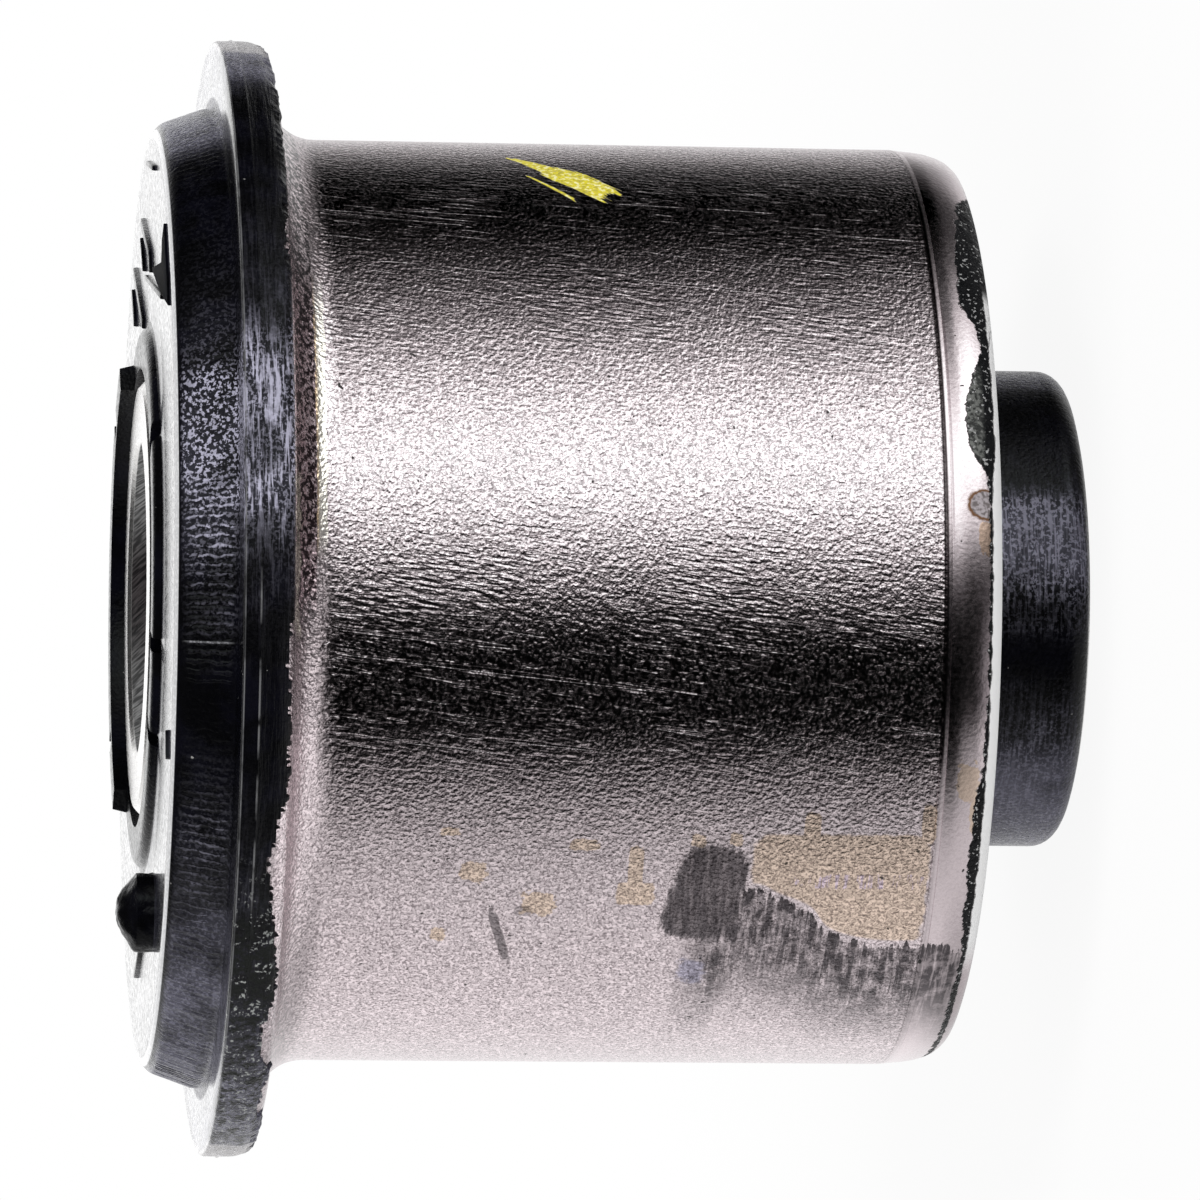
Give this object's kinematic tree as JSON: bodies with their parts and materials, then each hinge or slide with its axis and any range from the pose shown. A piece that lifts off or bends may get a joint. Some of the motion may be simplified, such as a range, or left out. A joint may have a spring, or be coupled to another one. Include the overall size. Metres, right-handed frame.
{
  "type": "rubber metal bush",
  "caption": "Flanged rubber-metal bush: thick inner steel sleeve bonded in rubber inside a thin flanged outer sleeve, with a thrust collar and a projecting nose.",
  "frame": {"origin": "centre of the inner sleeve's clamping face at the nose, on the common axis of both sleeves", "axes": "+Z along the axis from the nose to the flange, +Y towards the moulded stop lug"},
  "size_m": [0.0581, 0.058, 0.0499],
  "materials": {
    "inner_steel": "turned steel, lightly oiled",
    "outer_steel": "ground drawn steel with axial scratches, heat tint by the flange and stains",
    "rubber": "moulded blue-black rubber with fine axial ribs on the collar and trimmed flash"
  },
  "bodies": {
    "root": {"inner_sleeve": "inner_steel", "outer_sleeve": "outer_steel", "rubber_body": "rubber"}
  },
  "joints": []
}
